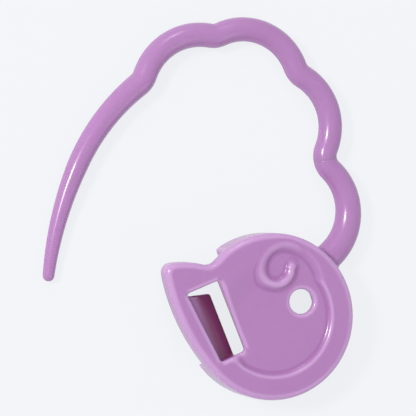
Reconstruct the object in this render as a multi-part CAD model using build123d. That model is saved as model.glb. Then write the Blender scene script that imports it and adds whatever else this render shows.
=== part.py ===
"""Locking stitch marker in the shape of a sheep's head with a woolly, scalloped spring arm.

The real marker is one injection moulding. Each region that bends, or that does a job of its own,
is a separate solid here. The arm bends at the narrow valleys between its scallops, so each valley
holds a ball end that turns in a matching socket, with a running clearance between them.

Frame: millimetres. The origin is the centre of the round skull, on the flat back of the head.
+Z points out of the face. The back of the head and the underside of the arm lie on Z = 0.
"""

from build123d import *
import os
from math import atan2, cos, degrees, radians, sin

# ---- Head: the round skull ----
skull_radius = 7.3
head_thickness = 3.8  # back rim to the raised border of the face
face_wall = 0.8  # wall between the sunk face and the hollow behind it
face_recess = 0.3  # depth of the sunk face inside its raised border
face_border_width = 2.1
back_rim_width = 2.6
border_slope = 40.0  # lean of the border's inner side, in degrees from upright
outer_edge_round = 0.35

# ---- Head: the snout ----
snout_reach = 11.0  # skull centre to the snout's tip
snout_direction = 155.3  # degrees, seen from the front
snout_tip_round = 0.45
snout_top_bulge = 0.3
cheek_direction = 223.0  # where the long outer side of the snout runs into the skull
notch_direction = 142.5  # where the top of the snout meets the skull
notch_round = 0.6
bar_underside = 1.75  # height of the snout and the outer bar above the back

# ---- Head: the window that shows the catch ----
window_corner_reach = 5.98  # skull centre to the window's inner corner beside the notch
window_corner_direction = 147.5
window_heading = -68.0  # direction of the window's long inner side
window_length = 6.63
window_width_at_snout = 3.1
window_width_at_cheek = 2.45
window_corner_round = 0.2

# ---- Head: the catch ramp, which slopes from the outer bar down towards the back ----
catch_slot = 0.82  # open slot between the ramp's free edge and the window's inner side
ramp_edge_height = 1.6  # underside of the ramp's free edge
ramp_thickness = 0.6
ramp_rise = 1.05  # how far the ramp climbs from its free edge to the outer bar
ramp_gap_at_bar = 0.15  # open gap between the ramp and the snout, beside the bar
ramp_gap_at_slot = 0.95  # the same gap at the free edge

# ---- Head: the way in for the pin, cut under the snout and the rim ----
mouth_past_slot = 1.6  # how far the way in reaches past the window's inner side
channel_flare = 0.3  # side way growth of the channel for each millimetre outwards
channel_margin = 0.2

# ---- Head: eye and ear ----
eye_radius = 1.1
eye_reach = 2.85
eye_direction = 27.0
ear_bead_radius = 0.35
ear_start = (4.45, 3.35)
ear_start_heading = 101.0
ear_curl = [(3.77, 75.0), (2.18, 94.0), (1.45, 95.0), (1.45, 88.0)]  # radius and turn of each arc

# ---- Arm: tube sizes ----
neck_radius = 1.25
arm_radius = 1.05
tail_middle_radius = 0.9  # where the tail's last arc starts
tip_radius = 0.5
ball_clearance = 0.05
neck_foot_length = 1.9
neck_foot_half_width = 1.75  # of the flared foot, inside the rim
neck_foot_half_height = 1.05

# ---- Arm: centreline, a chain of tangent arcs given as radius and turn in degrees ----
arm_direction = 42.1  # where the arm leaves the skull
neck_stand_off = 0.98  # skull's edge to the middle of the first ball
neck_heading = 44.7
valley_radius = 1.7
neck_arc = (5.05, 92.5)
scallop_arcs = [(5.1, 82.3), (5.05, 93.9), (5.35, 80.0)]
valley_turns = [69.5, 38.8, 33.8, 32.6]
tail_arcs = [(18.5, 28.0), (32.0, 17.5)]

hollow_radius = skull_radius - back_rim_width
recess_radius = skull_radius - face_border_width
face_floor = head_thickness - face_recess
hollow_depth = face_floor - face_wall


def polar(reach, direction):
    """Return the point at this reach and direction (degrees) from the skull's centre."""
    return Vector(reach * cos(radians(direction)), reach * sin(radians(direction)), 0)


def forward(heading):
    """Return the unit vector of a heading in degrees."""
    return Vector(cos(radians(heading)), sin(radians(heading)), 0)


def walk(start, heading, arcs):
    """Follow tangent arcs from a start. Return each arc's start, middle, end and last heading."""
    steps = []
    for radius, turn in arcs:
        side = 1 if turn > 0 else -1
        centre = start + forward(heading + 90 * side) * radius
        middle = centre - forward(heading + 90 * side + turn / 2) * radius
        end = centre - forward(heading + 90 * side + turn) * radius
        steps.append((start, middle, end, heading + turn))
        start = end
        heading = heading + turn
    return steps


def arc_path(steps):
    """Return the wire through the arcs that walk gives."""
    return Wire([ThreePointArc(start, middle, end).edge() for start, middle, end, _ in steps])


# ---- Arm: the pieces' own arcs. Each valley is shared by the two pieces that meet there ----
def half_valley(index):
    """Return half of the arc of one valley, which turns the other way from the scallops."""
    return (valley_radius, -valley_turns[index] / 2)


neck_chain = [neck_arc, half_valley(0)]
scallop_chains = [[half_valley(i), arc, half_valley(i + 1)] for i, arc in enumerate(scallop_arcs)]
tail_chain = [half_valley(len(scallop_arcs))] + tail_arcs


# ---- Head ----
def head_outline():
    """Return the head's silhouette: the round skull with the snout that grows out of it."""
    cheek = polar(skull_radius, cheek_direction)
    notch = polar(skull_radius, notch_direction)
    tip = polar(snout_reach, snout_direction)
    # The long outer side is one arc through the tip, tangent to the skull at the cheek.
    towards_tip = snout_reach * cos(radians(snout_direction - cheek_direction))
    centre_reach = (snout_reach**2 - skull_radius**2) / (2 * (skull_radius - towards_tip))
    side_centre = polar(-centre_reach, cheek_direction)
    side_radius = skull_radius + centre_reach
    tip_direction = degrees(atan2(tip.Y - side_centre.Y, tip.X - side_centre.X)) % 360
    side_middle = side_centre + forward((tip_direction + cheek_direction) / 2) * side_radius
    skull_middle = polar(skull_radius, (cheek_direction + notch_direction + 360) / 2)
    top_middle = (notch + tip) * 0.5 + (notch - tip).normalized().rotate(Axis.Z, 90) * snout_top_bulge
    with BuildSketch() as sketch:
        with BuildLine():
            ThreePointArc(cheek, skull_middle, notch)
            ThreePointArc(notch, top_middle, tip)
            ThreePointArc(tip, side_middle, cheek)
        make_face()
        at_tip = sketch.vertices().sort_by_distance(tip)[0]
        fillet(at_tip, snout_tip_round)
        at_notch = sketch.vertices().sort_by_distance(notch)[0]
        fillet(at_notch, notch_round)
    return sketch.sketch


def window_plane(height):
    """Return the window's own plane: X runs along its inner side from the notch, -Y towards the bar."""
    corner = polar(window_corner_reach, window_corner_direction)
    return Plane(origin=(corner.X, corner.Y, height), x_dir=forward(window_heading), z_dir=(0, 0, 1))


def upright(points, bottom, top):
    """Return the prism that stands on a polygon given in the window's own plane."""
    sketch = window_plane(bottom) * make_face(Polyline(*points, close=True))
    return extrude(sketch, amount=top - bottom, dir=(0, 0, 1))


def window_cut():
    """Return the four-sided window, cut through the whole head."""
    corners = [
        (0, 0),
        (0, -window_width_at_snout),
        (window_length, -window_width_at_cheek),
        (window_length, 0),
    ]
    prism = upright(corners, 0, head_thickness)
    return fillet(prism.edges().filter_by(Axis.Z), window_corner_round)


def mouth_points():
    """Return the outline of the way in: everything outside the rim, up to the window's far end."""
    return [
        (-snout_reach, mouth_past_slot),
        (-snout_reach, -snout_reach),
        (window_length, -snout_reach),
        (window_length, mouth_past_slot),
    ]


def channel_points():
    """Return the outline of the channel under the snout, which flares outwards for the pin."""
    inner = -catch_slot - channel_margin
    return [
        (window_length, mouth_past_slot),
        (-snout_reach, mouth_past_slot),
        (-snout_reach, inner - channel_flare * snout_reach),
        (0, inner),
        (window_length, inner),
    ]


def ear_bead():
    """Return the ear: a round bead that curls inwards from the border towards the eye."""
    start = Vector(ear_start[0], ear_start[1], face_floor)
    path = arc_path(walk(start, ear_start_heading, ear_curl))
    section = Plane(origin=start, z_dir=forward(ear_start_heading)) * Circle(ear_bead_radius)
    bead = sweep(section, path=path)
    for end in (path @ 0, path @ 1):
        bead += Location(end) * Sphere(ear_bead_radius)
    return bead


def head_face():
    """Return the front wall: border, sunk face, snout top, window, eye hole and ear."""
    wall = extrude(Plane.XY.offset(hollow_depth) * head_outline(), amount=head_thickness - hollow_depth)
    top_edges = wall.faces().sort_by(Axis.Z)[-1].outer_wire().edges()
    wall = fillet(top_edges, outer_edge_round)
    recess = Plane.XY.offset(face_floor) * Circle(recess_radius)
    sunk = extrude(recess, amount=face_recess, dir=(0, 0, 1), taper=-border_slope)
    wall -= sunk
    wall += ear_bead()
    wall -= window_cut()
    eye = polar(eye_reach, eye_direction)
    wall -= Location((eye.X, eye.Y, head_thickness)) * Cylinder(eye_radius, 2 * head_thickness)
    return wall


def neck_joint():
    """Return the middle of the ball at the neck's foot, at its height above the back."""
    foot = polar(skull_radius + neck_stand_off, arm_direction)
    return Vector(foot.X, foot.Y, neck_radius)


def neck_foot():
    """Return the flared foot that grows out of the rim, with a flat end at the first ball."""
    joint = neck_joint()
    along = forward(neck_heading)
    narrow = Plane(origin=joint, x_dir=forward(neck_heading + 90), z_dir=along)
    wide = Plane(origin=joint - along * neck_foot_length, x_dir=forward(neck_heading + 90), z_dir=along)
    flared = wide * Ellipse(neck_foot_half_width, neck_foot_half_height)
    return loft([flared, narrow * Circle(neck_radius)])


def head_rim():
    """Return the thick rim behind the face, open where the pin goes in, with the neck's foot."""
    ring = extrude(head_outline(), amount=hollow_depth)
    ring -= Location((0, 0, hollow_depth / 2)) * Cylinder(hollow_radius, hollow_depth)
    ring -= upright(mouth_points(), 0, hollow_depth)
    ring += neck_foot()
    joint = neck_joint()
    ring -= Location(joint) * Sphere(neck_radius + ball_clearance)
    return ring


def outer_bar():
    """Return the lower part of the snout and the bar outside the window, clear of the pin's way in."""
    bar = extrude(Plane.XY.offset(bar_underside) * head_outline(), amount=hollow_depth - bar_underside)
    bar &= upright(mouth_points(), 0, hollow_depth)
    bar -= upright(channel_points(), 0, hollow_depth)
    bar -= window_cut()
    return bar


def catch_ramp():
    """Return the ramp that the pin slides under and is then held by."""
    across = -window_width_at_snout
    narrowing = (window_width_at_snout - window_width_at_cheek) / window_length
    profile = [
        (-catch_slot, ramp_edge_height),
        (-catch_slot, ramp_edge_height + ramp_thickness),
        (across, ramp_edge_height + ramp_thickness + ramp_rise),
        (across, ramp_edge_height + ramp_rise),
    ]
    along = forward(window_heading)
    end_plane = Plane(window_plane(0).origin, x_dir=forward(window_heading + 90), z_dir=along)
    slab = extrude(end_plane * make_face(Polyline(*profile, close=True)), amount=window_length)
    plan = [
        (ramp_gap_at_slot, -catch_slot),
        (ramp_gap_at_bar, across + narrowing * ramp_gap_at_bar),
        (window_length, -window_width_at_cheek),
        (window_length, -catch_slot),
    ]
    return slab & upright(plan, 0, head_thickness)


# ---- Arm ----
def tube(step, heading, radii):
    """Return a round tube along one arc. It rests on the back plane and tapers evenly."""
    sections = []
    for point, direction, radius in ((step[0], heading, radii[0]), (step[2], step[3], radii[1])):
        plane = Plane(origin=(point.X, point.Y, radius), x_dir=(0, 0, 1), z_dir=forward(direction))
        sections.append(plane * Circle(radius))
    return sweep(sections, path=arc_path([step]), multisection=True)


def ball_end(point, radius, heading):
    """Return the half ball on the end of a piece. Its round side faces this heading."""
    return Plane(origin=point, z_dir=forward(heading)) * Sphere(radius, arc_size1=0)


def arm_piece(start, heading, chain, radii, end):
    """Return one piece of the arm with its ball at the start, and a socket or a round tip at the end.

    The radii are those at the start and at the end of each arc.
    """
    steps = walk(start, heading, chain)
    piece = ball_end((start.X, start.Y, radii[0]), radii[0], heading + 180)
    for step, arc_radii in zip(steps, zip(radii, radii[1:])):
        piece += tube(step, heading, arc_radii)
        heading = step[3]
    last = Vector(steps[-1][2].X, steps[-1][2].Y, radii[-1])
    if end == "socket":
        piece -= Location(last) * Sphere(radii[-1] + ball_clearance)
    else:
        piece += ball_end(last, radii[-1], heading)
    return piece


def arm_pieces():
    """Return the arm's pieces in order, as a list of (name, solid, middle of its ball)."""
    joint = neck_joint()
    start = Vector(joint.X, joint.Y, 0)
    heading = neck_heading
    plan = [("arm_neck", neck_chain, [neck_radius, arm_radius, arm_radius], "socket")]
    for index, chain in enumerate(scallop_chains):
        plan.append((f"arm_scallop_{index + 1}", chain, [arm_radius] * 4, "socket"))
    tail_radii = [arm_radius, arm_radius, tail_middle_radius, tip_radius]
    plan.append(("pin_tail", tail_chain, tail_radii, "tip"))
    pieces = []
    for name, chain, radii, end in plan:
        solid = arm_piece(start, heading, chain, radii, end)
        pieces.append((name, solid, Vector(start.X, start.Y, radii[0])))
        last = walk(start, heading, chain)[-1]
        start = last[2]
        heading = last[3]
    return pieces


def main():
    """Build each piece and write it to its own file."""
    os.makedirs("parts", exist_ok=True)
    pieces = [
        ("head_face", head_face()),
        ("head_rim", head_rim()),
        ("outer_bar", outer_bar()),
        ("catch_ramp", catch_ramp()),
    ]
    for name, solid, joint in arm_pieces():
        print(name, "turns about", [round(value, 4) for value in joint])
        pieces.append((name, solid))
    for name, solid in pieces:
        export_step(solid, f"parts/{name}.step")


main()
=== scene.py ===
"""Looks of a moulded locking stitch marker: a sheep's head with a scalloped spring arm.

The marker is one glossy lilac moulding. The head is cut from its outline, rounded as a moulding
is, and its face is given its border, sunk floor and curled ear. The arm is a tube that follows
tangent arcs, in lengths that bend across each flexing valley.

Meshes are modelled in millimetres and brought to metres when they are finished. Headings and
directions are in degrees, counted from +X towards +Y.
"""

import logging
import math
from dataclasses import dataclass, field
from enum import Enum

import bmesh
import bpy
import numpy as np
from mathutils import Matrix, Vector


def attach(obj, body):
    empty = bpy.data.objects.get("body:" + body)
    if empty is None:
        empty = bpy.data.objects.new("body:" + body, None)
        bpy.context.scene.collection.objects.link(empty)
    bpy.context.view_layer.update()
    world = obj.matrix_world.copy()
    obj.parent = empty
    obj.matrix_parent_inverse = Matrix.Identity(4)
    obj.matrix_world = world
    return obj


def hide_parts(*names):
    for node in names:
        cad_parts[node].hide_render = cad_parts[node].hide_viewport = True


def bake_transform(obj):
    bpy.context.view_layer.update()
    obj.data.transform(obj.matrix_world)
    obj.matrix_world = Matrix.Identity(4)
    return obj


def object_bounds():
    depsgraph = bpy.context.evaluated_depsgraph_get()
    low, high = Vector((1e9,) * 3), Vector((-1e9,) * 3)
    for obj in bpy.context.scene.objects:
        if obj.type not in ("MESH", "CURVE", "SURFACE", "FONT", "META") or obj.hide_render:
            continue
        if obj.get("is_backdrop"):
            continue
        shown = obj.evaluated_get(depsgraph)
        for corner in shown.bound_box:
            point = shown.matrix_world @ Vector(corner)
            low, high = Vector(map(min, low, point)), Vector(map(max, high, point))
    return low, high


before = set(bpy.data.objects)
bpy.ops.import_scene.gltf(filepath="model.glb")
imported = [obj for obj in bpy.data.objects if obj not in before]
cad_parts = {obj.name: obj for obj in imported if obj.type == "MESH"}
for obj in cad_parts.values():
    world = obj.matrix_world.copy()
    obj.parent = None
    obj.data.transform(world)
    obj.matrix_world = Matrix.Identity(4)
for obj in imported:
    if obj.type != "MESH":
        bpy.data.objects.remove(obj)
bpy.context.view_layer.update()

MILLIMETRE = 0.001
LEVEL_TOLERANCE = 1e-5  # how far from level a level edge may be, in millimetres
LEAST_SQUARE = 1e-12  # least square of an edge's length, in square metres, to divide by
LOG = logging.getLogger("stitch_marker")

Colour = tuple[float, float, float]


class Body(Enum):
    """The bodies that the marker's pieces ride on."""

    HEAD = "head"
    NECK = "neck"
    FIRST = "first_scallop"
    SECOND = "second_scallop"
    THIRD = "third_scallop"
    TAIL = "tail"


class End(Enum):
    """How a length of the arm ends."""

    FLAT = "flat"
    BALL = "ball"
    TIP = "tip"


class Mark(Enum):
    """The values that the head's mesh carries for painted light in its colour: a painted highlight on its
    edges, and painted shade in its creases and deep places.
    """

    # painted highlight: a lighter colour on the rounded edges, where they catch the light
    EDGE = "edge"
    # painted shade: a darker colour in the creases
    CREASE = "crease"
    # painted shade: a darker colour deep in the window, on the catch and in the hollow, where shadow falls
    PAINTED_DEEP_SHADE = "deep"


class Turn(Enum):
    """Which way an arc of the arm bends."""

    BULGE = 1
    VALLEY = -1


def heading_vector(heading: float) -> Vector:
    """Return the unit vector of a heading, in the plane of the marker."""
    return Vector((math.cos(math.radians(heading)), math.sin(math.radians(heading)), 0.0))


def polar(reach: float, direction: float) -> Vector:
    """Return the point at this reach and direction from the skull's centre."""
    return heading_vector(direction) * reach


def smooth_step(value: np.ndarray) -> np.ndarray:
    """Return 0 below 0, 1 above 1, and a smooth rise between them."""
    held = np.clip(value, 0.0, 1.0)
    return held * held * (3 - 2 * held)


def rounded_drop(distance: np.ndarray, width: float) -> np.ndarray:
    """Return how far a rounded edge lies below its surface, from 1 at the edge to 0 at this width."""
    run = np.clip(1 - distance / width, 0.0, 1.0)
    return 1 - np.sqrt(1 - run * run)


def distance_to_line(points: np.ndarray, line: np.ndarray) -> tuple[np.ndarray, np.ndarray]:
    """Measure how far points lie from a line of straight steps.

    Args:
        points: The points, as rows of x and y.
        line: The line's corners, as rows of x and y.

    Returns:
        Each point's least distance, and the share of the line at which it is reached.
    """
    best = np.full(len(points), np.inf)
    share = np.zeros(len(points))
    steps = len(line) - 1
    for index in range(steps):
        start = line[index]
        step = line[index + 1] - start
        along = np.clip(((points - start) @ step) / (step @ step), 0.0, 1.0)
        distance = np.linalg.norm(points - start - along[:, None] * step, axis=1)
        closer = distance < best
        best[closer] = distance[closer]
        share[closer] = (index + along[closer]) / steps
    return best, share


def inside_loop(points: np.ndarray, loop: np.ndarray) -> np.ndarray:
    """Return which points lie inside a closed loop of straight steps.

    Args:
        points: The points, as rows of x and y.
        loop: The loop's corners, as rows of x and y.

    Returns:
        True for each point inside.
    """
    inside = np.zeros(len(points), bool)
    for a, b in zip(loop, np.roll(loop, -1, axis=0)):
        crosses = (a[1] > points[:, 1]) != (b[1] > points[:, 1])
        with np.errstate(divide="ignore", invalid="ignore"):
            edge_x = a[0] + (points[:, 1] - a[1]) * (b[0] - a[0]) / (b[1] - a[1])
        inside ^= crosses & (points[:, 0] < edge_x)
    return inside


def make_object(name: str, made: bmesh.types.BMesh) -> bpy.types.Object:
    """Turn a finished mesh into an object at the origin.

    Args:
        name: The object's name.
        made: The mesh under construction, which is freed.

    Returns:
        The new object, linked to the scene.
    """
    mesh = bpy.data.meshes.new(name)
    made.to_mesh(mesh)
    made.free()
    piece = bpy.data.objects.new(name, mesh)
    bpy.context.scene.collection.objects.link(piece)
    return piece


def remove_object(piece: bpy.types.Object) -> None:
    """Remove a helper object and its mesh.

    Args:
        piece: The object.
    """
    mesh = piece.data
    bpy.data.objects.remove(piece)
    bpy.data.meshes.remove(mesh)


def take_shape(piece: bpy.types.Object) -> bmesh.types.BMesh:
    """Take an object's mesh with its modifiers applied, and remove the object.

    Args:
        piece: The object.

    Returns:
        Its shape, as a mesh under construction.
    """
    bpy.context.view_layer.update()
    graph = bpy.context.evaluated_depsgraph_get()
    mesh = bpy.data.meshes.new_from_object(piece.evaluated_get(graph))
    made = bmesh.new()
    made.from_mesh(mesh)
    bpy.data.meshes.remove(mesh)
    remove_object(piece)
    return made


def raise_faces(made: bmesh.types.BMesh, faces: list[bmesh.types.BMFace], height: float) -> None:
    """Extrude faces straight up into a closed solid.

    Args:
        made: The mesh under construction.
        faces: The faces, which stay as the solid's floor.
        height: How far they are raised.
    """
    grown = bmesh.ops.extrude_face_region(made, geom=faces)["geom"]
    raised = [item for item in grown if isinstance(item, bmesh.types.BMVert)]
    bmesh.ops.translate(made, verts=raised, vec=(0, 0, height))


def smooth_mesh(made: bmesh.types.BMesh, rounds: int, factor: float) -> None:
    """Even out a mesh by moving each corner towards its neighbours.

    Args:
        made: The mesh under construction.
        rounds: How often the corners are moved.
        factor: Share of the way that a corner goes each time.
    """
    for _ in range(rounds):
        bmesh.ops.smooth_vert(
            made, verts=made.verts, factor=factor, use_axis_x=True, use_axis_y=True, use_axis_z=True
        )


def settle_order(made: bmesh.types.BMesh) -> None:
    """Put a mesh's edges and faces in the order of their corners, so that it is the same each time.

    Args:
        made: The mesh under construction.
    """

    def place(item: bmesh.types.BMEdge | bmesh.types.BMFace) -> int:
        """Return a number that grows with the item's first corner, and then with its last."""
        corners = [vert.index for vert in item.verts]
        return min(corners) * len(made.verts) + max(corners)

    made.verts.index_update()
    for items in (made.edges, made.faces):
        items.sort(key=place)
        items.index_update()


def mesh_places(mesh: bpy.types.Mesh) -> np.ndarray:
    """Return where a mesh's corners are.

    Args:
        mesh: The mesh.

    Returns:
        The places, as rows of x, y and z.
    """
    places = np.empty(len(mesh.vertices) * 3)
    mesh.vertices.foreach_get("co", places)
    return places.reshape(-1, 3)


def mesh_bends(mesh: bpy.types.Mesh, rounds: int) -> np.ndarray:
    """Measure how strongly a mesh bends at each corner.

    Args:
        mesh: The mesh.
        rounds: How often the values are averaged with their neighbours'.

    Returns:
        The bend in 1/m for each corner, positive on edges and negative in creases.
    """
    places = mesh_places(mesh)
    count = len(places)
    normals = np.empty(count * 3)
    mesh.vertex_normals.foreach_get("vector", normals)
    normals = normals.reshape(-1, 3)
    ends = np.empty(len(mesh.edges) * 2, dtype=np.int32)
    mesh.edges.foreach_get("vertices", ends)
    a, b = ends.reshape(-1, 2).T
    step = places[b] - places[a]
    square = np.maximum((step**2).sum(1), LEAST_SQUARE)
    bend = np.einsum("ij,ij->i", normals[b] - normals[a], step) / square
    neighbours = np.bincount(a, minlength=count) + np.bincount(b, minlength=count)
    value = (np.bincount(a, bend, count) + np.bincount(b, bend, count)) / neighbours
    for _ in range(rounds):
        around = (np.bincount(a, value[b], count) + np.bincount(b, value[a], count)) / neighbours
        value = (value + around) / 2
    return value


def math_node(
    tree: bpy.types.NodeTree,
    operation: str,
    first: bpy.types.NodeSocket,
    second: bpy.types.NodeSocket | float,
) -> bpy.types.NodeSocket:
    """Add a piece of arithmetic to a node tree.

    Args:
        tree: The node tree.
        operation: The operation, such as MULTIPLY.
        first: The first value.
        second: The second value, as a socket or a number.

    Returns:
        The result's socket.
    """
    node = tree.nodes.new("ShaderNodeMath")
    node.operation = operation
    tree.links.new(first, node.inputs[0])
    if isinstance(second, bpy.types.NodeSocket):
        tree.links.new(second, node.inputs[1])
    else:
        node.inputs[1].default_value = second
    return node.outputs[0]


def mix_colours(
    tree: bpy.types.NodeTree,
    under: bpy.types.NodeSocket | Colour,
    over: Colour,
    share: bpy.types.NodeSocket,
) -> bpy.types.NodeSocket:
    """Blend one colour over another in a node tree.

    Args:
        tree: The node tree.
        under: The colour where the share is 0, as a socket or a colour.
        over: The colour where the share is 1.
        share: How much of the second colour shows.

    Returns:
        The blended colour's socket.
    """
    blend = tree.nodes.new("ShaderNodeMix")
    blend.data_type = "RGBA"
    blend.inputs["B"].default_value = (*over, 1)
    if isinstance(under, bpy.types.NodeSocket):
        tree.links.new(under, blend.inputs["A"])
    else:
        blend.inputs["A"].default_value = (*under, 1)
    tree.links.new(share, blend.inputs["Factor"])
    return blend.outputs["Result"]


@dataclass(frozen=True)
class Pattern:
    """A soft random pattern: its size in millimetres, and how many finer layers it has."""

    size: float
    layers: float


@dataclass(frozen=True)
class Bump:
    """A fine relief in a finish: its pattern, how strongly it shades and its height in millimetres."""

    pattern: Pattern
    strength: float
    height: float


@dataclass(frozen=True)
class MouldedPlastic:
    """Glossy, slightly translucent moulded plastic, with depths in millimetres."""

    name: str
    colour: Colour
    # painted highlight on the head's rounded edges
    painted_edge_highlight_colour: Colour
    # the darker tone of the random flow marks, and painted shade in creases
    flow_and_crease_shade_colour: Colour
    # painted shade deep in the window and the hollow
    painted_deep_shade_colour: Colour
    # strengths of the painted highlight on edges, the painted shade in creases and the painted shade in
    # deep places
    painted_edge_highlight_strength: float = 0.8
    painted_crease_shade_strength: float = 0.55
    painted_deep_shade_strength: float = 0.95
    refraction: float = 1.49
    coat: float = 0.12
    coat_roughness: float = 0.12
    translucence: float = 0.22
    translucent_depth: float = 0.7
    translucent_colour: Colour = (1.0, 0.45, 0.95)
    flow: Pattern = Pattern(5.0, 3.0)
    flow_strength: float = 0.22
    handling: Pattern = Pattern(1.8, 4.0)
    smoothest: float = 0.2
    dullest: float = 0.27
    ripple: Bump = Bump(Pattern(2.4, 1.0), 0.35, 0.02)
    grain: Bump = Bump(Pattern(0.3, 2.0), 0.04, 0.003)

    def build(self) -> bpy.types.Material:
        """Make the material's nodes.

        Returns:
            The material.
        """
        material = bpy.data.materials.new(self.name)
        material.use_nodes = True
        tree = material.node_tree
        shader = tree.nodes["Principled BSDF"]
        shader.inputs["IOR"].default_value = self.refraction
        shader.inputs["Subsurface Weight"].default_value = self.translucence
        shader.inputs["Subsurface Radius"].default_value = self.translucent_colour
        shader.inputs["Subsurface Scale"].default_value = self.translucent_depth * MILLIMETRE
        shader.inputs["Coat Weight"].default_value = self.coat
        shader.inputs["Coat Roughness"].default_value = self.coat_roughness

        place = tree.nodes.new("ShaderNodeTexCoord").outputs["Object"]
        tree.links.new(self._colour(tree, place), shader.inputs["Base Color"])
        tree.links.new(self._roughness(tree, place), shader.inputs["Roughness"])
        tree.links.new(self._relief(tree, place), shader.inputs["Normal"])
        return material

    @staticmethod
    def _noise(
        tree: bpy.types.NodeTree, place: bpy.types.NodeSocket, pattern: Pattern
    ) -> bpy.types.NodeSocket:
        """Add a random pattern.

        Args:
            tree: The material's nodes.
            place: The place on the piece.
            pattern: The pattern's size and layers.

        Returns:
            The pattern's value, from 0 to 1.
        """
        noise = tree.nodes.new("ShaderNodeTexNoise")
        noise.inputs["Scale"].default_value = 1 / (pattern.size * MILLIMETRE)
        noise.inputs["Detail"].default_value = pattern.layers
        tree.links.new(place, noise.inputs["Vector"])
        return noise.outputs["Fac"]

    def _colour(self, tree: bpy.types.NodeTree, place: bpy.types.NodeSocket) -> bpy.types.NodeSocket:
        """Mix the colour: flow marks in the body, a painted highlight on edges, and painted shade in
        creases and deep places.

        Args:
            tree: The material's nodes.
            place: The place on the piece.

        Returns:
            The colour's socket.
        """
        flow = math_node(tree, "MULTIPLY", self._noise(tree, place, self.flow), self.flow_strength)
        shade = mix_colours(tree, self.colour, self.flow_and_crease_shade_colour, flow)
        # painted highlight on edges, painted shade in creases and painted shade in deep places
        marks = (
            (Mark.EDGE, self.painted_edge_highlight_colour, self.painted_edge_highlight_strength),
            (Mark.CREASE, self.flow_and_crease_shade_colour, self.painted_crease_shade_strength),
            (Mark.PAINTED_DEEP_SHADE, self.painted_deep_shade_colour, self.painted_deep_shade_strength),
        )
        for mark, colour, strength in marks:
            value = tree.nodes.new("ShaderNodeAttribute")
            value.attribute_name = mark.value
            share = math_node(tree, "MULTIPLY", value.outputs["Fac"], strength)
            shade = mix_colours(tree, shade, colour, share)
        return shade

    def _roughness(self, tree: bpy.types.NodeTree, place: bpy.types.NodeSocket) -> bpy.types.NodeSocket:
        """Vary the roughness: a gloss that handling has dulled in places.

        Args:
            tree: The material's nodes.
            place: The place on the piece.

        Returns:
            The roughness's socket.
        """
        spread = tree.nodes.new("ShaderNodeMapRange")
        spread.inputs["To Min"].default_value = self.smoothest
        spread.inputs["To Max"].default_value = self.dullest
        tree.links.new(self._noise(tree, place, self.handling), spread.inputs["Value"])
        return spread.outputs["Result"]

    def _relief(self, tree: bpy.types.NodeTree, place: bpy.types.NodeSocket) -> bpy.types.NodeSocket:
        """Add the fine relief: a soft ripple of the moulding, and on it the grain of its mould.

        Args:
            tree: The material's nodes.
            place: The place on the piece.

        Returns:
            The surface direction's socket.
        """
        layers = []
        for relief in (self.ripple, self.grain):
            layer = tree.nodes.new("ShaderNodeBump")
            layer.inputs["Strength"].default_value = relief.strength
            layer.inputs["Distance"].default_value = relief.height * MILLIMETRE
            tree.links.new(self._noise(tree, place, relief.pattern), layer.inputs["Height"])
            layers.append(layer)
        ripple, grain = layers
        tree.links.new(ripple.outputs["Normal"], grain.inputs["Normal"])
        return grain.outputs["Normal"]


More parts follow.
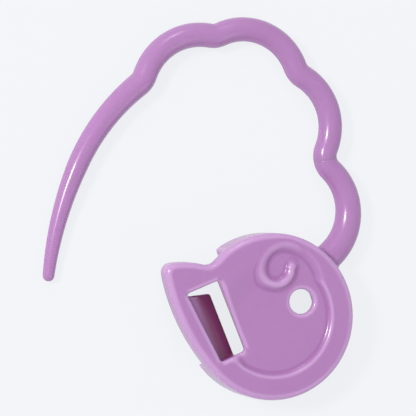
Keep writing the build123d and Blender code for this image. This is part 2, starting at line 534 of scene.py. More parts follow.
@dataclass
class SheepHead:
    """The head: one moulding with its face, rim, snout, catch and the foot of the neck.

    The places of the window's corner and of the eye are a reach and a direction from the skull's
    centre. The ear's start is x and y.
    """

    # Silhouette and thickness
    skull_radius: float = 7.3
    thickness: float = 3.8
    snout_reach: float = 11.0
    snout_direction: float = 155.3
    snout_tip_round: float = 0.855
    snout_top_bulge: float = 0.3
    snout_top_steps: int = 4
    cheek_direction: float = 223.0
    notch_direction: float = 142.5
    notch_round: float = 0.6
    corner_steps: int = 6
    skull_steps: int = 110
    skull_steps_left_out: int = 5
    side_steps: int = 24
    side_steps_left_out: int = 3
    front_edge_round: float = 0.5
    front_edge_steps: int = 5
    back_edge_round: float = 0.2
    back_edge_steps: int = 3

    # Hollow, window, channel for the pin, and eye
    hollow_ceiling: float = 2.7
    hollow_radius: float = 4.7
    hollow_sides: int = 96
    bar_underside: float = 1.75
    window_corner: tuple[float, float] = (5.98, 147.5)
    window_heading: float = -68.0
    window_length: float = 6.63
    window_widths: tuple[float, float] = (3.1, 2.45)
    mouth_past_slot: float = 1.6
    channel_flare: float = 0.3
    channel_margin: float = 0.2
    eye_radius: float = 1.1
    eye_place: tuple[float, float] = (2.85, 27.0)
    eye_sides: int = 64
    cut_past: float = 1.0

    # Catch
    catch_slot: float = 0.82
    ramp_edge_height: float = 1.6
    ramp_thickness: float = 0.6
    ramp_rise: float = 1.05
    ramp_gaps: tuple[float, float] = (0.15, 0.95)
    ramp_overlap: float = 0.3

    # Foot of the neck: its wide ring in the head, then narrower rings towards the arm. Each of these
    # has its share of the foot's length, and its half height and half width as shares of the
    # neck's radius.
    foot_length: float = 1.9
    foot_half_width: float = 1.75
    foot_half_height: float = 1.05
    foot_rings: tuple[tuple[float, float, float], ...] = (
        (0.66, 0.9, 1.26),
        (0.36, 0.94, 1.1),
        (0.0, 0.9, 0.88),
    )
    foot_sides: int = 48

    # Sunk face: a soft slope towards the snout, and a crisp one round the rest
    face_recess: float = 0.3
    recess_radius: float = 5.3
    soft_slope_direction: float = 160.0
    soft_slope_reach: float = 38.0
    soft_slope_fade: float = 40.0
    soft_slope_width: float = 2.4
    crisp_slope_width: float = 0.45

    # Relief: it fades down to this height, and the edges of the openings are rounded
    relief_base: float = 3.0
    opening_round: float = 0.4
    opening_drop: float = 0.16

    # Ear: its ridge follows arcs, given as radius and turn, and is steeper where it curls
    ear_start: tuple[float, float] = (4.45, 3.35)
    ear_start_heading: float = 101.0
    ear_curl: tuple[tuple[float, float], ...] = ((3.77, 75.0), (2.18, 94.0), (1.45, 95.0), (1.45, 88.0))
    ear_arc_steps: int = 14
    ear_ridge_height: float = 0.36
    ear_ridge_behind: float = 0.3
    ear_slope_width: float = 1.15
    ear_curl_slope_width: float = 0.62
    ear_inner_width: float = 0.72
    ear_curl_inner_width: float = 0.55
    ear_inner_roundness: float = 1.5
    ear_lead_in: float = 2.5
    curl_starts: float = 0.5
    curl_blend: float = 0.2
    ridge_lead: float = 0.05
    ridge_growth: float = 0.3

    # Where the ear shows behind the face: on what faces back, near the ceiling of the hollow
    back_facing: float = 0.6
    back_facing_blend: float = 0.3
    ceiling_band: float = 0.2
    hollow_wall_band: float = 0.1

    # Fineness of the mesh
    voxel: float = 0.086
    smoothing_rounds: int = 8
    smoothing_factor: float = 0.5
    last_rounds: int = 2
    last_factor: float = 0.4

    # Painted highlight on edges, and painted shade in creases and deep places: where a bend (1/mm) or a
    # depth begins to count, and over what it grows
    bend_rounds: int = 6
    highlight_edge_bend: tuple[float, float] = (0.15, 0.8)
    crease_shade_bend: tuple[float, float] = (0.13, 0.6)
    deep_shade_below: tuple[float, float] = (0.62, 0.5)
    deep_shade_window_reach: float = 0.25
    deep_shade_eye_clear: tuple[float, float] = (0.2, 0.3)
    deep_shade_hollow_reach: float = 0.05
    deep_shade_hollow_share: float = 0.2

    @staticmethod
    def _arc(centre: Vector, radius: float, start: float, end: float, steps: int) -> list[Vector]:
        """Return the points of an arc.

        Args:
            centre: The arc's centre.
            radius: Its radius.
            start: Direction of the first point.
            end: Direction of the last point.
            steps: Number of steps between them.

        Returns:
            The points, both ends included.
        """
        return [centre + polar(radius, start + (end - start) * i / steps) for i in range(steps + 1)]

    def _snout_top(self, notch: Vector, tip: Vector) -> list[Vector]:
        """Return the points of the snout's slightly bulging top.

        Args:
            notch: The notch between the skull and the snout.
            tip: The snout's tip.

        Returns:
            The points between the notch and the tip.
        """
        inwards = Vector((-(tip - notch).y, (tip - notch).x, 0)).normalized()
        points = []
        for index in range(1, self.snout_top_steps):
            share = index / self.snout_top_steps
            bulge = 4 * share * (1 - share) * self.snout_top_bulge
            points.append(notch.lerp(tip, share) - inwards * bulge)
        return points

    def _snout_side(self, tip: Vector) -> list[Vector]:
        """Return the points of the long side: an arc from the snout's tip, tangent to the skull.

        Args:
            tip: The snout's tip.

        Returns:
            The points after the tip's rounding and before the cheek.
        """
        towards_tip = self.snout_reach * math.cos(math.radians(self.snout_direction - self.cheek_direction))
        reach = (self.snout_reach**2 - self.skull_radius**2) / (2 * (self.skull_radius - towards_tip))
        centre = polar(-reach, self.cheek_direction)
        from_centre = tip - centre
        tip_direction = math.degrees(math.atan2(from_centre.y, from_centre.x)) % 360
        radius = self.skull_radius + reach
        side = self._arc(centre, radius, tip_direction, self.cheek_direction, self.side_steps)
        return side[self.side_steps_left_out : -1]

    def outline(self) -> bmesh.types.BMesh:
        """Draw the head's silhouette.

        Returns:
            A mesh that holds it as one face, with the notch and the snout's tip rounded.
        """
        notch = polar(self.skull_radius, self.notch_direction)
        tip = polar(self.snout_reach, self.snout_direction)
        skull_end = self.notch_direction + 360
        points = self._arc(Vector(), self.skull_radius, self.cheek_direction, skull_end, self.skull_steps)
        points = points[: -self.skull_steps_left_out]
        notch_index = len(points)
        points.append(notch)
        points.extend(self._snout_top(notch, tip))
        tip_index = len(points)
        points.append(tip)
        points.extend(self._snout_side(tip))

        made = bmesh.new()
        corners = [made.verts.new(point) for point in points]
        made.faces.new(corners)
        for index, size in ((notch_index, self.notch_round), (tip_index, self.snout_tip_round)):
            bmesh.ops.bevel(
                made,
                geom=[corners[index]],
                affect="VERTICES",
                offset=size,
                segments=self.corner_steps,
                profile=0.5,
                material=-1,
            )
        return made

    def _blank(self) -> bpy.types.Object:
        """Model the solid blank of the head, with rounded edges front and back.

        Returns:
            The blank, as a helper object.
        """
        made = self.outline()
        raise_faces(made, list(made.faces), self.thickness)
        bmesh.ops.recalc_face_normals(made, faces=made.faces)
        edges = (
            (self.thickness, self.front_edge_round, self.front_edge_steps),
            (0.0, self.back_edge_round, self.back_edge_steps),
        )
        for height, size, steps in edges:
            rim = [e for e in made.edges if all(abs(v.co.z - height) < LEVEL_TOLERANCE for v in e.verts)]
            bmesh.ops.bevel(
                made, geom=rim, affect="EDGES", offset=size, segments=steps, profile=0.5, material=-1
            )
        return make_object("head_blank", made)

    def _window_frame(self, points: list[tuple[float, float]]) -> list[Vector]:
        """Return points given in the window's own frame as points of the head.

        Args:
            points: Pairs: along the inner side from the notch, and away from the snout's edge.

        Returns:
            The points in the plane of the marker.
        """
        corner = polar(*self.window_corner)
        along = heading_vector(self.window_heading)
        across = heading_vector(self.window_heading + 90)
        return [corner + along * u + across * v for u, v in points]

    @staticmethod
    def _round_cutter(
        name: str, radius: float, sides: int, depth: float, middle: Vector
    ) -> bpy.types.Object:
        """Model an upright round cutter.

        Args:
            name: Its name.
            radius: Its radius.
            sides: Number of its sides.
            depth: Its full height.
            middle: Its middle.

        Returns:
            The cutter.
        """
        made = bmesh.new()
        bmesh.ops.create_cone(
            made,
            cap_ends=True,
            segments=sides,
            radius1=radius,
            radius2=radius,
            depth=depth,
            matrix=Matrix.Translation(middle),
        )
        return make_object(name, made)

    def _flat_cutter(self, name: str, points: list[tuple[float, float]], top: float) -> bpy.types.Object:
        """Model a cutter with straight sides, up from below the back.

        Args:
            name: Its name.
            points: Its corners, in the window's own frame.
            top: Height of its top.

        Returns:
            The cutter.
        """
        made = bmesh.new()
        corners = [made.verts.new((p.x, p.y, -self.cut_past)) for p in self._window_frame(points)]
        raise_faces(made, [made.faces.new(corners)], top + self.cut_past)
        bmesh.ops.recalc_face_normals(made, faces=made.faces)
        return make_object(name, made)

    def _cutters(self) -> list[bpy.types.Object]:
        """Model what is cut out of the blank: the hollow, the pin's way in, the window and the eye.

        Returns:
            The cutters, as helper objects.
        """
        past = self.cut_past
        reach = self.snout_reach
        length = self.window_length
        side = self.mouth_past_slot
        inner = -self.catch_slot - self.channel_margin
        flared = inner - self.channel_flare * reach
        near, far = self.window_widths
        ceiling = self.hollow_ceiling
        middle = Vector((0, 0, (ceiling - past) / 2))
        hollow = (self.hollow_radius, self.hollow_sides, ceiling + past, middle)
        mouth = [(-reach, side), (-reach, -reach), (length, -reach), (length, side)]
        channel = [(length, side), (-reach, side), (-reach, flared), (0, inner), (length, inner)]
        window = [(0, 0), (0, -near), (length, -far), (length, 0)]
        eye = (self.eye_radius, self.eye_sides, 2 * (self.thickness + past), polar(*self.eye_place))
        return [
            self._round_cutter("cut_hollow", *hollow),
            self._flat_cutter("cut_mouth", mouth, self.bar_underside),
            self._flat_cutter("cut_channel", channel, ceiling),
            self._flat_cutter("cut_window", window, self.thickness + past),
            self._round_cutter("cut_eye", *eye),
        ]

    def _add_ramp(self, made: bmesh.types.BMesh) -> None:
        """Add the catch: a slab that slopes down from the bar towards the slot.

        Args:
            made: The head's mesh.
        """
        length = self.window_length + self.ramp_overlap
        near, far = self.ramp_gaps
        slope = self.ramp_rise / (self.window_widths[0] - self.catch_slot)
        edge = -self.catch_slot
        outer = -self.window_widths[0] - self.ramp_overlap
        plan = [(far, edge), (near, outer), (length, outer), (length, edge)]
        lower = [
            made.verts.new((p.x, p.y, self.ramp_edge_height + (edge - v) * slope))
            for p, (_, v) in zip(self._window_frame(plan), plan)
        ]
        raise_faces(made, [made.faces.new(lower)], self.ramp_thickness)

    def _add_foot(self, made: bmesh.types.BMesh, joint: Vector, heading: float, radius: float) -> None:
        """Add the flared foot of the neck.

        Args:
            made: The head's mesh.
            joint: Middle of the neck's first bend.
            heading: The neck's heading there.
            radius: The neck's radius.
        """
        along = heading_vector(heading)
        turned = Matrix.Rotation(math.radians(heading), 4, "Z")
        upright = turned @ Matrix.Rotation(math.radians(90), 4, "Y")
        shape = [(self.foot_length, self.foot_half_height, self.foot_half_width)]
        for back, half_height, half_width in self.foot_rings:
            shape.append((self.foot_length * back, radius * half_height, radius * half_width))
        rings = []
        for back, half_height, half_width in shape:
            size = Matrix.Diagonal((half_height, half_width, 1, 1))
            place = Matrix.Translation(joint - along * back) @ upright @ size
            circle = bmesh.ops.create_circle(
                made, cap_ends=False, radius=1, segments=self.foot_sides, matrix=place
            )
            ring = circle["verts"]
            rings.append([e for e in made.edges if e.verts[0] in ring and e.verts[1] in ring])
        for a, b in zip(rings, rings[1:]):
            bmesh.ops.bridge_loops(made, edges=a + b)
        for ring in (rings[0], rings[-1]):
            bmesh.ops.contextual_create(made, geom=ring)

    def _ear_line(self) -> np.ndarray:
        """Follow the ear's arcs.

        Returns:
            The line that the ear's ridge follows, as rows of x and y.
        """
        point = Vector((*self.ear_start, 0))
        heading = self.ear_start_heading
        rows = [point.copy()]
        for radius, turn in self.ear_curl:
            centre = point + heading_vector(heading + 90) * radius
            for step in range(1, self.ear_arc_steps + 1):
                turned = heading + 90 + turn * step / self.ear_arc_steps
                rows.append(centre - heading_vector(turned) * radius)
            point = rows[-1].copy()
            heading += turn
        return np.array([[row.x, row.y] for row in rows])

    def _window_loop(self) -> np.ndarray:
        """Return the window's corners.

        Returns:
            Rows of x and y, with the first corner again at the end.
        """
        near, far = self.window_widths
        points = [(0, 0), (0, -near), (self.window_length, -far), (self.window_length, 0), (0, 0)]
        return np.array([[corner.x, corner.y] for corner in self._window_frame(points)])

    def _past_eye(self, flat: np.ndarray) -> np.ndarray:
        """Return how far places lie from the eye's edge, outwards."""
        return np.linalg.norm(flat - np.array(polar(*self.eye_place))[:2], axis=1) - self.eye_radius

    def _sunk(self, flat: np.ndarray, line: np.ndarray) -> np.ndarray:
        """Return how far the face is sunk at each place: 1 on its floor and 0 on its border.

        Args:
            flat: The places, as rows of x and y.
            line: The ear's line.

        Returns:
            The share of the full depth.
        """
        reach = np.linalg.norm(flat, axis=1)
        direction = np.degrees(np.arctan2(flat[:, 1], flat[:, 0]))
        from_snout = np.abs((direction - self.soft_slope_direction + 180) % 360 - 180)
        crisp = smooth_step((from_snout - self.soft_slope_reach) / self.soft_slope_fade)
        width = self.soft_slope_width + (self.crisp_slope_width - self.soft_slope_width) * crisp
        sunk = smooth_step((self.recess_radius - reach) / width)
        back = heading_vector(self.ear_start_heading) * -self.ear_lead_in
        loop = np.vstack([line[:1] + np.array(back)[:2], line])
        beside, _ = distance_to_line(flat, loop)
        in_ear = np.clip(beside / self.ear_inner_width, 0.0, 1.0) ** self.ear_inner_roundness
        return np.maximum(sunk, in_ear * inside_loop(flat, loop))

    def _ear_ridge(self, flat: np.ndarray, line: np.ndarray) -> np.ndarray:
        """Return the ear's ridge: steep towards its inside, and running out softly round its outside.

        Args:
            flat: The places, as rows of x and y.
            line: The ear's line.

        Returns:
            The share of the ridge's full height.
        """
        distance, share = distance_to_line(flat, line)
        curled = smooth_step((share - self.curl_starts) / self.curl_blend)
        outside = self.ear_slope_width + (self.ear_curl_slope_width - self.ear_slope_width) * curled
        inner = self.ear_inner_width + (self.ear_curl_inner_width - self.ear_inner_width) * curled
        inwards = 1 - np.clip(distance / inner, 0.0, 1.0) ** 2
        outwards = 1 - smooth_step(distance / outside)
        ridge = np.where(inside_loop(flat, line), inwards, outwards)
        return ridge * smooth_step((share + self.ridge_lead) / self.ridge_growth)

    def _openings(self, flat: np.ndarray) -> np.ndarray:
        """Return how far the rounded edges of the eye and the window drop: 1 at the edge.

        Args:
            flat: The places, as rows of x and y.

        Returns:
            The share of the full drop.
        """
        loop = self._window_loop()
        to_window, _ = distance_to_line(flat, loop)
        outside = ~inside_loop(flat, loop[:-1])
        at_window = rounded_drop(to_window, self.opening_round) * outside
        return np.maximum(rounded_drop(self._past_eye(flat), self.opening_round), at_window)

    def _shape_face(self, made: bmesh.types.BMesh) -> None:
        """Shape the face: its sunk floor, border, ear and rounded openings. The back shows the ear too.

        Args:
            made: The head's mesh, whose corners are moved up and down.
        """
        verts = list(made.verts)
        places = np.array([v.co for v in verts])
        facing = np.array([v.normal.z for v in verts])
        flat = places[:, :2]
        heights = places[:, 2]
        line = self._ear_line()
        sunk = self._sunk(flat, line)
        ridge = self._ear_ridge(flat, line)

        standing = self.face_recess * (1 - sunk)
        ridge_top = np.maximum(0.0, self.ear_ridge_height * ridge - standing)
        surface = ridge_top - self.face_recess * sunk - self.opening_drop * self._openings(flat)
        front = np.clip((heights - self.relief_base) / (self.thickness - self.relief_base), 0.0, 1.0)

        behind = smooth_step((-facing - self.back_facing) / self.back_facing_blend)
        behind = behind * (np.abs(heights - self.hollow_ceiling) < self.ceiling_band)
        behind = behind * (np.linalg.norm(flat, axis=1) < self.hollow_radius - self.hollow_wall_band)
        moves = np.where(front > 0, surface * front, -self.ear_ridge_behind * ridge * behind)
        for vert, move in zip(verts, moves):
            vert.co.z += move

    def build(self, joint: Vector, heading: float, neck_radius: float) -> bpy.types.Object:
        """Model the head.

        Args:
            joint: Middle of the neck's first bend.
            heading: The neck's heading there.
            neck_radius: The neck's radius there.

        Returns:
            The finished head, in metres.
        """
        blank = self._blank()
        cutters = self._cutters()
        for cutter in cutters:
            cut = blank.modifiers.new(cutter.name, "BOOLEAN")
            cut.operation = "DIFFERENCE"
            cut.solver = "EXACT"
            cut.object = cutter
        made = take_shape(blank)
        for cutter in cutters:
            remove_object(cutter)
        self._add_ramp(made)
        self._add_foot(made, joint, heading, neck_radius)
        bmesh.ops.recalc_face_normals(made, faces=made.faces)
        rough = make_object("head_rough", made)
        remesh = rough.modifiers.new("even_mesh", "REMESH")
        remesh.mode = "VOXEL"
        remesh.voxel_size = self.voxel
        made = take_shape(rough)
        smooth_mesh(made, self.smoothing_rounds, self.smoothing_factor)
        made.normal_update()
        self._shape_face(made)
        smooth_mesh(made, self.last_rounds, self.last_factor)
        bmesh.ops.scale(made, verts=made.verts, vec=(MILLIMETRE,) * 3)
        for face in made.faces:
            face.smooth = True
        head = make_object("head_moulding", made)
        self._mark(head)
        return head

    def _mark(self, head: bpy.types.Object) -> None:
        """Write down where the head's mesh gets a painted highlight on its edges, and painted shade in its
        creases and deep places.

        Args:
            head: The finished head, in metres.
        """
        mesh = head.data
        bend = mesh_bends(mesh, self.bend_rounds) * MILLIMETRE
        places = mesh_places(mesh) / MILLIMETRE
        flat = places[:, :2]
        loop = self._window_loop()
        # where painted shade falls: in and near the window, a little in the hollow, and clear of the eye
        beside, _ = distance_to_line(flat, loop)
        in_hollow = np.linalg.norm(flat, axis=1) < self.hollow_radius + self.deep_shade_hollow_reach
        near = np.maximum(inside_loop(flat, loop[:-1]), smooth_step(1 - beside / self.deep_shade_window_reach))
        near = np.maximum(near, self.deep_shade_hollow_share * in_hollow)
        clear, fade = self.deep_shade_eye_clear
        near = near * smooth_step((self._past_eye(flat) - clear) / fade)
        below, growth = self.deep_shade_below
        sharp, sharp_growth = self.highlight_edge_bend
        creased, crease_growth = self.crease_shade_bend
        # painted highlight on edges, painted shade in creases and in deep places
        values = {
            Mark.EDGE: smooth_step((bend - sharp) / sharp_growth),
            Mark.CREASE: smooth_step((-bend - creased) / crease_growth),
            Mark.PAINTED_DEEP_SHADE: near * smooth_step((self.thickness - below - places[:, 2]) / growth),
        }
        for mark, value in values.items():
            layer = mesh.attributes.new(mark.value, "FLOAT", "POINT")
            layer.data.foreach_set("value", value.astype(np.float32))

    def dress(self, head: bpy.types.Object, plastic: bpy.types.Material) -> None:
        """Give the head its finish and its place in the frame.

        Args:
            head: The finished head.
            plastic: Its material.
        """
        head.data.materials.append(plastic)
        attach(head, Body.HEAD.value)
        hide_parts("head_face", "head_rim", "outer_bar", "catch_ramp")


@dataclass(frozen=True)
class ArcStep:
    """One arc of the arm's centreline: where it starts, and how far it turns to one side."""

    start: Vector
    heading: float
    radius: float
    turn: float
    way: Turn

    def at(self, share: float) -> tuple[Vector, float]:
        """Find a place on the arc.

        Args:
            share: Share of the arc, from 0 at its start to 1 at its end.

        Returns:
            The point, and the heading there.
        """
        side = 90 * self.way.value
        centre = self.start + heading_vector(self.heading + side) * self.radius
        heading = self.heading + self.turn * self.way.value * share
        return centre - heading_vector(heading + side) * self.radius, heading

    @property
    def length(self) -> float:
        """Length along the arc."""
        return self.radius * math.radians(self.turn)


@dataclass(frozen=True)
class ArmLength:
    """One length of the arm: where it runs and bends, on the centreline, and what it stands for."""

    name: str
    start: float
    end: float
    bend: float
    bodies: tuple[Body, Body]
    nodes: tuple[str, ...]
    far_end: End = End.FLAT
    socket: bool = False


@dataclass(frozen=True)
class Station:
    """Where a ring of the tube stands.

    It has its length along the centreline, its share of the tube's radius, and how far it stands
    beyond that length, as on a round end.
    """

    length: float
    share: float = 1.0
    beyond: float = 0.0


@dataclass
class WoollyArm:
    """The arm: a chain of tangent arcs with its scallops, bending valleys and tapered pin.

    An arc is given as its radius and how far it turns.
    """

    # Foot and thickness
    skull_radius: float = 7.3
    direction: float = 42.1
    stand_off: float = 0.98
    heading: float = 44.7
    foot_run: float = 1.3
    neck_radius: float = 1.25
    arm_radius: float = 1.05
    tail_middle_radius: float = 0.9
    tip_radius: float = 0.5
    parting_ridge: float = 0.022
    parting_ridge_starts: float = 0.985

    # Centreline
    neck_arc: tuple[float, float] = (5.05, 92.5)
    scallops: tuple[tuple[float, float], ...] = ((5.1, 82.3), (5.05, 93.9), (5.35, 80.0))
    valley_radius: float = 1.7
    valleys: tuple[float, ...] = (69.5, 38.8, 33.8, 32.6)
    tail_arcs: tuple[tuple[float, float], ...] = ((18.5, 28.0), (32.0, 17.5))
    steps: list[ArcStep] = field(default_factory=list)

    # Rings, ball and socket, the angle (radians) of a sharp edge, and a bend's reach to each side
    sides: int = 56
    ring_step: float = 0.2
    least_rings: int = 4
    seam_ring: float = 0.03
    ball_gap: float = 0.02
    ball_share: float = 0.99
    socket_share: float = 0.998
    ball_ring_angles: tuple[int, ...] = (0, 20, 40, 58, 74)
    sharp_angle: float = 0.9
    bend_reach: float = 1.0

    def __post_init__(self) -> None:
        """Lay out the centreline."""
        chain = [(*self.neck_arc, Turn.BULGE)]
        for index, turn in enumerate(self.valleys):
            chain.append((self.valley_radius, turn, Turn.VALLEY))
            if index < len(self.scallops):
                chain.append((*self.scallops[index], Turn.BULGE))
        chain.extend((*arc, Turn.BULGE) for arc in self.tail_arcs)
        start = self.joint
        start.z = 0
        heading = self.heading
        for radius, turn, way in chain:
            step = ArcStep(start, heading, radius, turn, way)
            self.steps.append(step)
            start, heading = step.at(1.0)

    @property
    def joint(self) -> Vector:
        """Middle of the first bend, at the foot of the neck."""
        place = polar(self.skull_radius + self.stand_off, self.direction)
        return Vector((place.x, place.y, self.neck_radius))

    def _length_to(self, index: int, share: float) -> float:
        """Return the length of the centreline up to this share of one arc."""
        return sum(step.length for step in self.steps[:index]) + self.steps[index].length * share

    def point(self, length: float) -> tuple[Vector, float]:
        """Find a place on the centreline, which runs straight before its start.

        Args:
            length: Length along the centreline from the joint, negative inside the head.

        Returns:
            The point, and the heading there.
        """
        if length < 0:
            start, heading = self.steps[0].at(0)
            return start + heading_vector(heading) * length, heading
        for step in self.steps:
            if length <= step.length:
                return step.at(length / step.length)
            length -= step.length
        return self.steps[-1].at(1.0)

    def tube_radius(self, length: float) -> float:
        """Work out the tube's radius: the neck narrows to the arm, and the tail twice to its tip.

        Args:
            length: Length along the centreline.

        Returns:
            The radius there.
        """
        last = len(self.steps) - 1
        marks = [0.0] + [self._length_to(index, 1.0) for index in (0, last - 2, last - 1, last)]
        tail_radii = [self.arm_radius, self.tail_middle_radius, self.tip_radius]
        radii = [self.neck_radius, self.arm_radius] + tail_radii
        return float(np.interp(length, marks, radii))

    def _place_ring(self, ring: list[bmesh.types.BMVert], station: Station) -> None:
        """Put a ring of the tube in its place, with the fine ridge where the mould's halves meet.

        Args:
            ring: The ring's corners, in order.
            station: Where it stands.
        """
        centre, heading = self.point(station.length)
        radius = self.tube_radius(station.length)
        across = heading_vector(heading + 90)
        middle = centre + heading_vector(heading) * station.beyond
        starts = self.parting_ridge_starts
        for index, vert in enumerate(ring):
            angle = 2 * math.pi * index / self.sides
            ridge = self.parting_ridge * max(0.0, abs(math.cos(angle)) - starts) / (1 - starts)
            size = radius * station.share + ridge * station.share
            vert.co = middle + across * (size * math.cos(angle))
            vert.co.z = radius + size * math.sin(angle)

    def _round_end(self, place: float, share: float) -> list[Station]:
        """List the rings of a half ball, from its rim to its pole.

        Args:
            place: Where its middle is, as a length along the centreline.
            share: The ball's radius as a share of the tube's.

        Returns:
            The stations of its rings.
        """
        radius = self.tube_radius(place) * share
        bends = [math.radians(angle) for angle in self.ball_ring_angles]
        return [Station(place, math.cos(bend) * share, math.sin(bend) * radius) for bend in bends]

    def _stations(self, length: ArmLength) -> list[Station]:
        """List where a tube's rings stand.

        Args:
            length: The length of arm that the tube shows.

        Returns:
            The stations, from the head outwards.
        """
        end = length.end - (self.ball_gap if length.far_end is End.BALL else 0.0)
        run = end - length.start
        count = max(self.least_rings, math.ceil(run / self.ring_step))
        along = [length.start + run * i / count for i in range(count + 1)]
        along.insert(1, length.start + self.seam_ring)
        if length.far_end is not End.TIP:
            along.insert(-1, end - self.seam_ring)
        stations = [Station(place) for place in along]
        if length.socket:
            stations = self._round_end(length.start, self.socket_share)[::-1] + stations
        if length.far_end is End.BALL:
            stations += self._round_end(length.end, self.ball_share)
        if length.far_end is End.TIP:
            stations += self._round_end(length.end, 1.0)[1:]
        return stations

    def _tube(self, length: ArmLength) -> bpy.types.Object:
        """Model one length of the arm as a closed tube.

        Args:
            length: The length to model.

        Returns:
            The finished length, in metres.
        """
        stations = self._stations(length)
        made = bmesh.new()
        ring = bmesh.ops.create_circle(made, cap_ends=True, radius=1, segments=self.sides)["verts"]
        self._place_ring(ring, stations[0])
        for station in stations[1:]:
            edges = [made.edges.get((a, b)) for a, b in zip(ring, ring[1:] + ring[:1])]
            grown = bmesh.ops.extrude_edge_only(made, edges=edges)["geom"]
            fresh = {v for v in grown if isinstance(v, bmesh.types.BMVert)}
            ring = [next(e.other_vert(v) for e in v.link_edges if e.other_vert(v) in fresh) for v in ring]
            self._place_ring(ring, station)
        made.faces.new(ring)
        settle_order(made)
        bmesh.ops.recalc_face_normals(made, faces=made.faces)
        for face in made.faces:
            face.smooth = len(face.verts) == 4
        made.normal_update()
        for edge in made.edges:
            if edge.calc_face_angle(0.0) > self.sharp_angle:
                edge.smooth = False
        bmesh.ops.scale(made, verts=made.verts, vec=(MILLIMETRE,) * 3)
        return make_object(length.name, made)

    def lengths(self) -> list[ArmLength]:
        """Divide the arm into lengths that each bend across one valley, or at the neck's foot.

        The first valley hardly bends, so the neck ends in it as a ball inside the next length. The
        other lengths meet in the middle of the scallops.

        Returns:
            The lengths, from the head outwards.
        """
        valley = [self._length_to(1 + 2 * index, 0.5) for index in range(len(self.valleys))]
        crest = [self._length_to(2 + 2 * index, 0.5) for index in range(len(self.scallops))]
        total = self._length_to(len(self.steps) - 1, 1.0)
        return [
            ArmLength(
                name="arm_neck_root",
                start=-self.foot_run,
                end=valley[0],
                bend=0.0,
                bodies=(Body.HEAD, Body.NECK),
                nodes=("arm_neck",),
                far_end=End.BALL,
            ),
            ArmLength(
                name="arm_first_wave",
                start=valley[0],
                end=crest[1],
                bend=valley[1],
                bodies=(Body.FIRST, Body.SECOND),
                nodes=("arm_scallop_1",),
                socket=True,
            ),
            ArmLength(
                name="arm_second_wave",
                start=crest[1],
                end=crest[2],
                bend=valley[2],
                bodies=(Body.SECOND, Body.THIRD),
                nodes=("arm_scallop_2",),
            ),
            ArmLength(
                name="arm_pin",
                start=crest[2],
                end=total,
                bend=valley[3],
                bodies=(Body.THIRD, Body.TAIL),
                nodes=("arm_scallop_3", "pin_tail"),
                far_end=End.TIP,
            ),
        ]

    def build(self) -> list[tuple[bpy.types.Object, ArmLength]]:
        """Return each finished object of the arm with the length that it shows."""
        return [(self._tube(length), length) for length in self.lengths()]

    def dress(self, built: list[tuple[bpy.types.Object, ArmLength]], plastic: bpy.types.Material) -> None:
        """Give the arm its finish, and hide the model's parts that its lengths stand for.

        Args:
            built: What build returned.
            plastic: The arm's material.
        """
        for piece, length in built:
            piece.data.materials.append(plastic)
            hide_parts(*length.nodes)
            for reach in (length.bend - self.bend_reach, length.bend + self.bend_reach):
                place, _ = self.point(reach)
            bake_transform(piece)


@dataclass(frozen=True)
class Lamp:
    """A round soft lamp: its place from the marker and its width in metres, its power and colour."""

    name: str
    place: tuple[float, float, float]
    width: float
    power: float
    colour: Colour

    def hang(self, centre: Vector) -> None:
        """Hang the lamp so that it faces the marker.

        Args:
            centre: The marker's middle.
        """
        data = bpy.data.lights.new(self.name, "AREA")
        data.shape = "DISK"
        data.size = self.width
        data.energy = self.power
        data.color = self.colour
        lamp = bpy.data.objects.new(self.name, data)
        bpy.context.scene.collection.objects.link(lamp)
        lamp.location = centre + Vector(self.place)
        lamp.rotation_euler = (-Vector(self.place)).to_track_quat("-Z", "Y").to_euler()


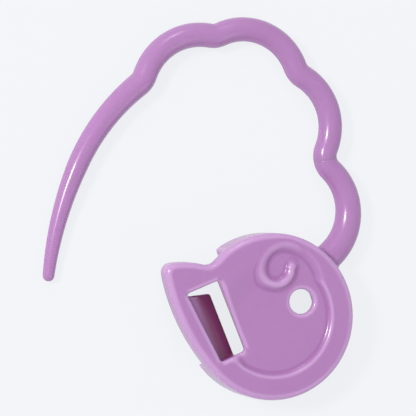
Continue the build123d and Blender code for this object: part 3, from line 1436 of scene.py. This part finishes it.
@dataclass
class Studio:
    """The pale floor, the soft lamps and the camera, in metres. The lens is in millimetres."""

    floor_colour: Colour = (0.86, 0.885, 0.91)
    floor_seen_colour: Colour = (0.9, 0.92, 0.945)
    floor_seen_share: float = 0.88
    floor_roughness: float = 0.9
    floor_gloss: float = 0.1
    floor_half_width: float = 0.6
    floor_drop: float = 0.00006
    world_colour: Colour = (0.96, 0.98, 1.0)
    world_strength: float = 0.56
    backdrop_colour: Colour = (0.93, 0.95, 0.97)
    lamps: tuple[Lamp, ...] = (
        Lamp("key_lamp", (-0.236, 0.072, 0.247), 0.06, 0.62, (1.0, 0.99, 0.97)),
        Lamp("top_lamp", (-0.05, 0.28, 0.2), 0.1, 0.14, (1.0, 1.0, 1.0)),
        Lamp("fill_lamp", (0.22, -0.2, 0.24), 0.2, 0.1, (0.97, 0.98, 1.0)),
    )
    camera_lean: float = 16.0
    lens: float = 200.0
    sensor_width: float = 36.0
    nearest_seen: float = 0.001
    farthest_seen: float = 10.0
    frame_margin: float = 1.08

    @staticmethod
    def _seen_rays(tree: bpy.types.NodeTree) -> bpy.types.NodeSocket:
        """Tell what is seen from the light that is cast.

        Args:
            tree: The node tree.

        Returns:
            1 for what the camera, a gloss or a clear piece sees, and 0 for cast light.
        """
        path = tree.nodes.new("ShaderNodeLightPath")
        seen = math_node(tree, "MAXIMUM", path.outputs["Is Camera Ray"], path.outputs["Is Glossy Ray"])
        return math_node(tree, "MAXIMUM", seen, path.outputs["Is Transmission Ray"])

    def _floor_material(self) -> bpy.types.Material:
        """Make the floor's finish: it takes the marker's shadow, and is clear from below.

        Returns:
            The material.
        """
        material = bpy.data.materials.new("pale_floor")
        material.use_nodes = True
        tree = material.node_tree
        shader = tree.nodes["Principled BSDF"]
        shader.inputs["Base Color"].default_value = (*self.floor_colour, 1)
        shader.inputs["Roughness"].default_value = self.floor_roughness
        shader.inputs["Specular IOR Level"].default_value = self.floor_gloss
        glow = tree.nodes.new("ShaderNodeEmission")
        glow.inputs["Color"].default_value = (*self.floor_seen_colour, 1)
        paler = tree.nodes.new("ShaderNodeMixShader")
        share = math_node(tree, "MULTIPLY", self._seen_rays(tree), self.floor_seen_share)
        tree.links.new(share, paler.inputs["Fac"])
        tree.links.new(shader.outputs["BSDF"], paler.inputs[1])
        tree.links.new(glow.outputs["Emission"], paler.inputs[2])
        clear = tree.nodes.new("ShaderNodeBsdfTransparent")
        side = tree.nodes.new("ShaderNodeNewGeometry")
        choose = tree.nodes.new("ShaderNodeMixShader")
        tree.links.new(side.outputs["Backfacing"], choose.inputs["Fac"])
        tree.links.new(paler.outputs["Shader"], choose.inputs[1])
        tree.links.new(clear.outputs["BSDF"], choose.inputs[2])
        tree.links.new(choose.outputs["Shader"], tree.nodes["Material Output"].inputs["Surface"])
        return material

    def build_floor(self) -> None:
        """Lay the floor just under the marker."""
        made = bmesh.new()
        bmesh.ops.create_grid(made, x_segments=1, y_segments=1, size=self.floor_half_width)
        bmesh.ops.translate(made, verts=made.verts, vec=(0, 0, -self.floor_drop))
        floor = make_object("studio_floor", made)
        floor.data.materials.append(self._floor_material())
        floor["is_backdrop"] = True

    def build_world(self) -> None:
        """Give even light from all round, and white where the camera or a gloss sees past the floor."""
        world = bpy.data.worlds.new("soft_room")
        bpy.context.scene.world = world
        world.use_nodes = True
        tree = world.node_tree
        light = tree.nodes["Background"]
        light.inputs["Color"].default_value = (*self.world_colour, 1)
        light.inputs["Strength"].default_value = self.world_strength
        white = tree.nodes.new("ShaderNodeBackground")
        white.inputs["Color"].default_value = (*self.backdrop_colour, 1)
        white.inputs["Strength"].default_value = 1.0
        choose = tree.nodes.new("ShaderNodeMixShader")
        tree.links.new(self._seen_rays(tree), choose.inputs["Fac"])
        tree.links.new(light.outputs["Background"], choose.inputs[1])
        tree.links.new(white.outputs["Background"], choose.inputs[2])
        tree.links.new(choose.outputs["Shader"], tree.nodes["World Output"].inputs["Surface"])

    def build_camera(self, low: Vector, high: Vector) -> None:
        """Aim the camera down at the face, from a little to the snout's side, in a square frame.

        Args:
            low: Lowest corner of the marker.
            high: Highest corner.
        """
        lean = math.radians(self.camera_lean)
        back = Vector((-math.sin(lean), 0, math.cos(lean)))
        right = Vector((math.cos(lean), 0, math.sin(lean)))
        up = Vector((0, 1, 0))
        data = bpy.data.cameras.new("photo_camera")
        data.sensor_width = self.sensor_width
        data.lens = self.lens
        data.clip_start = self.nearest_seen
        data.clip_end = self.farthest_seen
        camera = bpy.data.objects.new("photo_camera", data)
        bpy.context.scene.collection.objects.link(camera)
        half_height = (high.y - low.y) / 2 * self.frame_margin
        distance = half_height / (self.sensor_width / 2 / self.lens)
        turn = Matrix((right, up, back)).transposed()
        camera.matrix_world = Matrix.Translation((low + high) / 2 + back * distance) @ turn.to_4x4()
        bpy.context.scene.camera = camera

    def build(self, low: Vector, high: Vector) -> None:
        """Set up the studio round the marker.

        Args:
            low: Lowest corner of the marker.
            high: Highest corner.
        """
        self.build_floor()
        self.build_world()
        for lamp in self.lamps:
            lamp.hang((low + high) / 2)
        self.build_camera(low, high)
        bpy.context.scene.view_settings.view_transform = "Standard"


def main() -> None:
    """Build the marker and its studio."""
    logging.basicConfig(level=logging.INFO, format="%(name)s: %(message)s")
    plastic = MouldedPlastic(
        name="lilac_moulded_plastic",
        colour=(0.47, 0.225, 0.5),
        # painted highlight on the head's edges
        painted_edge_highlight_colour=(0.62, 0.36, 0.66),
        # darker tone of the flow marks, and painted shade in the head's creases
        flow_and_crease_shade_colour=(0.36, 0.12, 0.38),
        # painted shade deep in the window and the hollow
        painted_deep_shade_colour=(0.17, 0.018, 0.09),
    ).build()
    arm = WoollyArm()
    head = SheepHead()
    moulding = head.build(arm.joint, arm.heading, arm.neck_radius)
    head.dress(moulding, plastic)
    LOG.info("%s has %d faces", moulding.name, len(moulding.data.polygons))
    arm.dress(arm.build(), plastic)

    low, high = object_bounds()
    Studio().build(low, high)


if __name__ == "__main__":
    main()
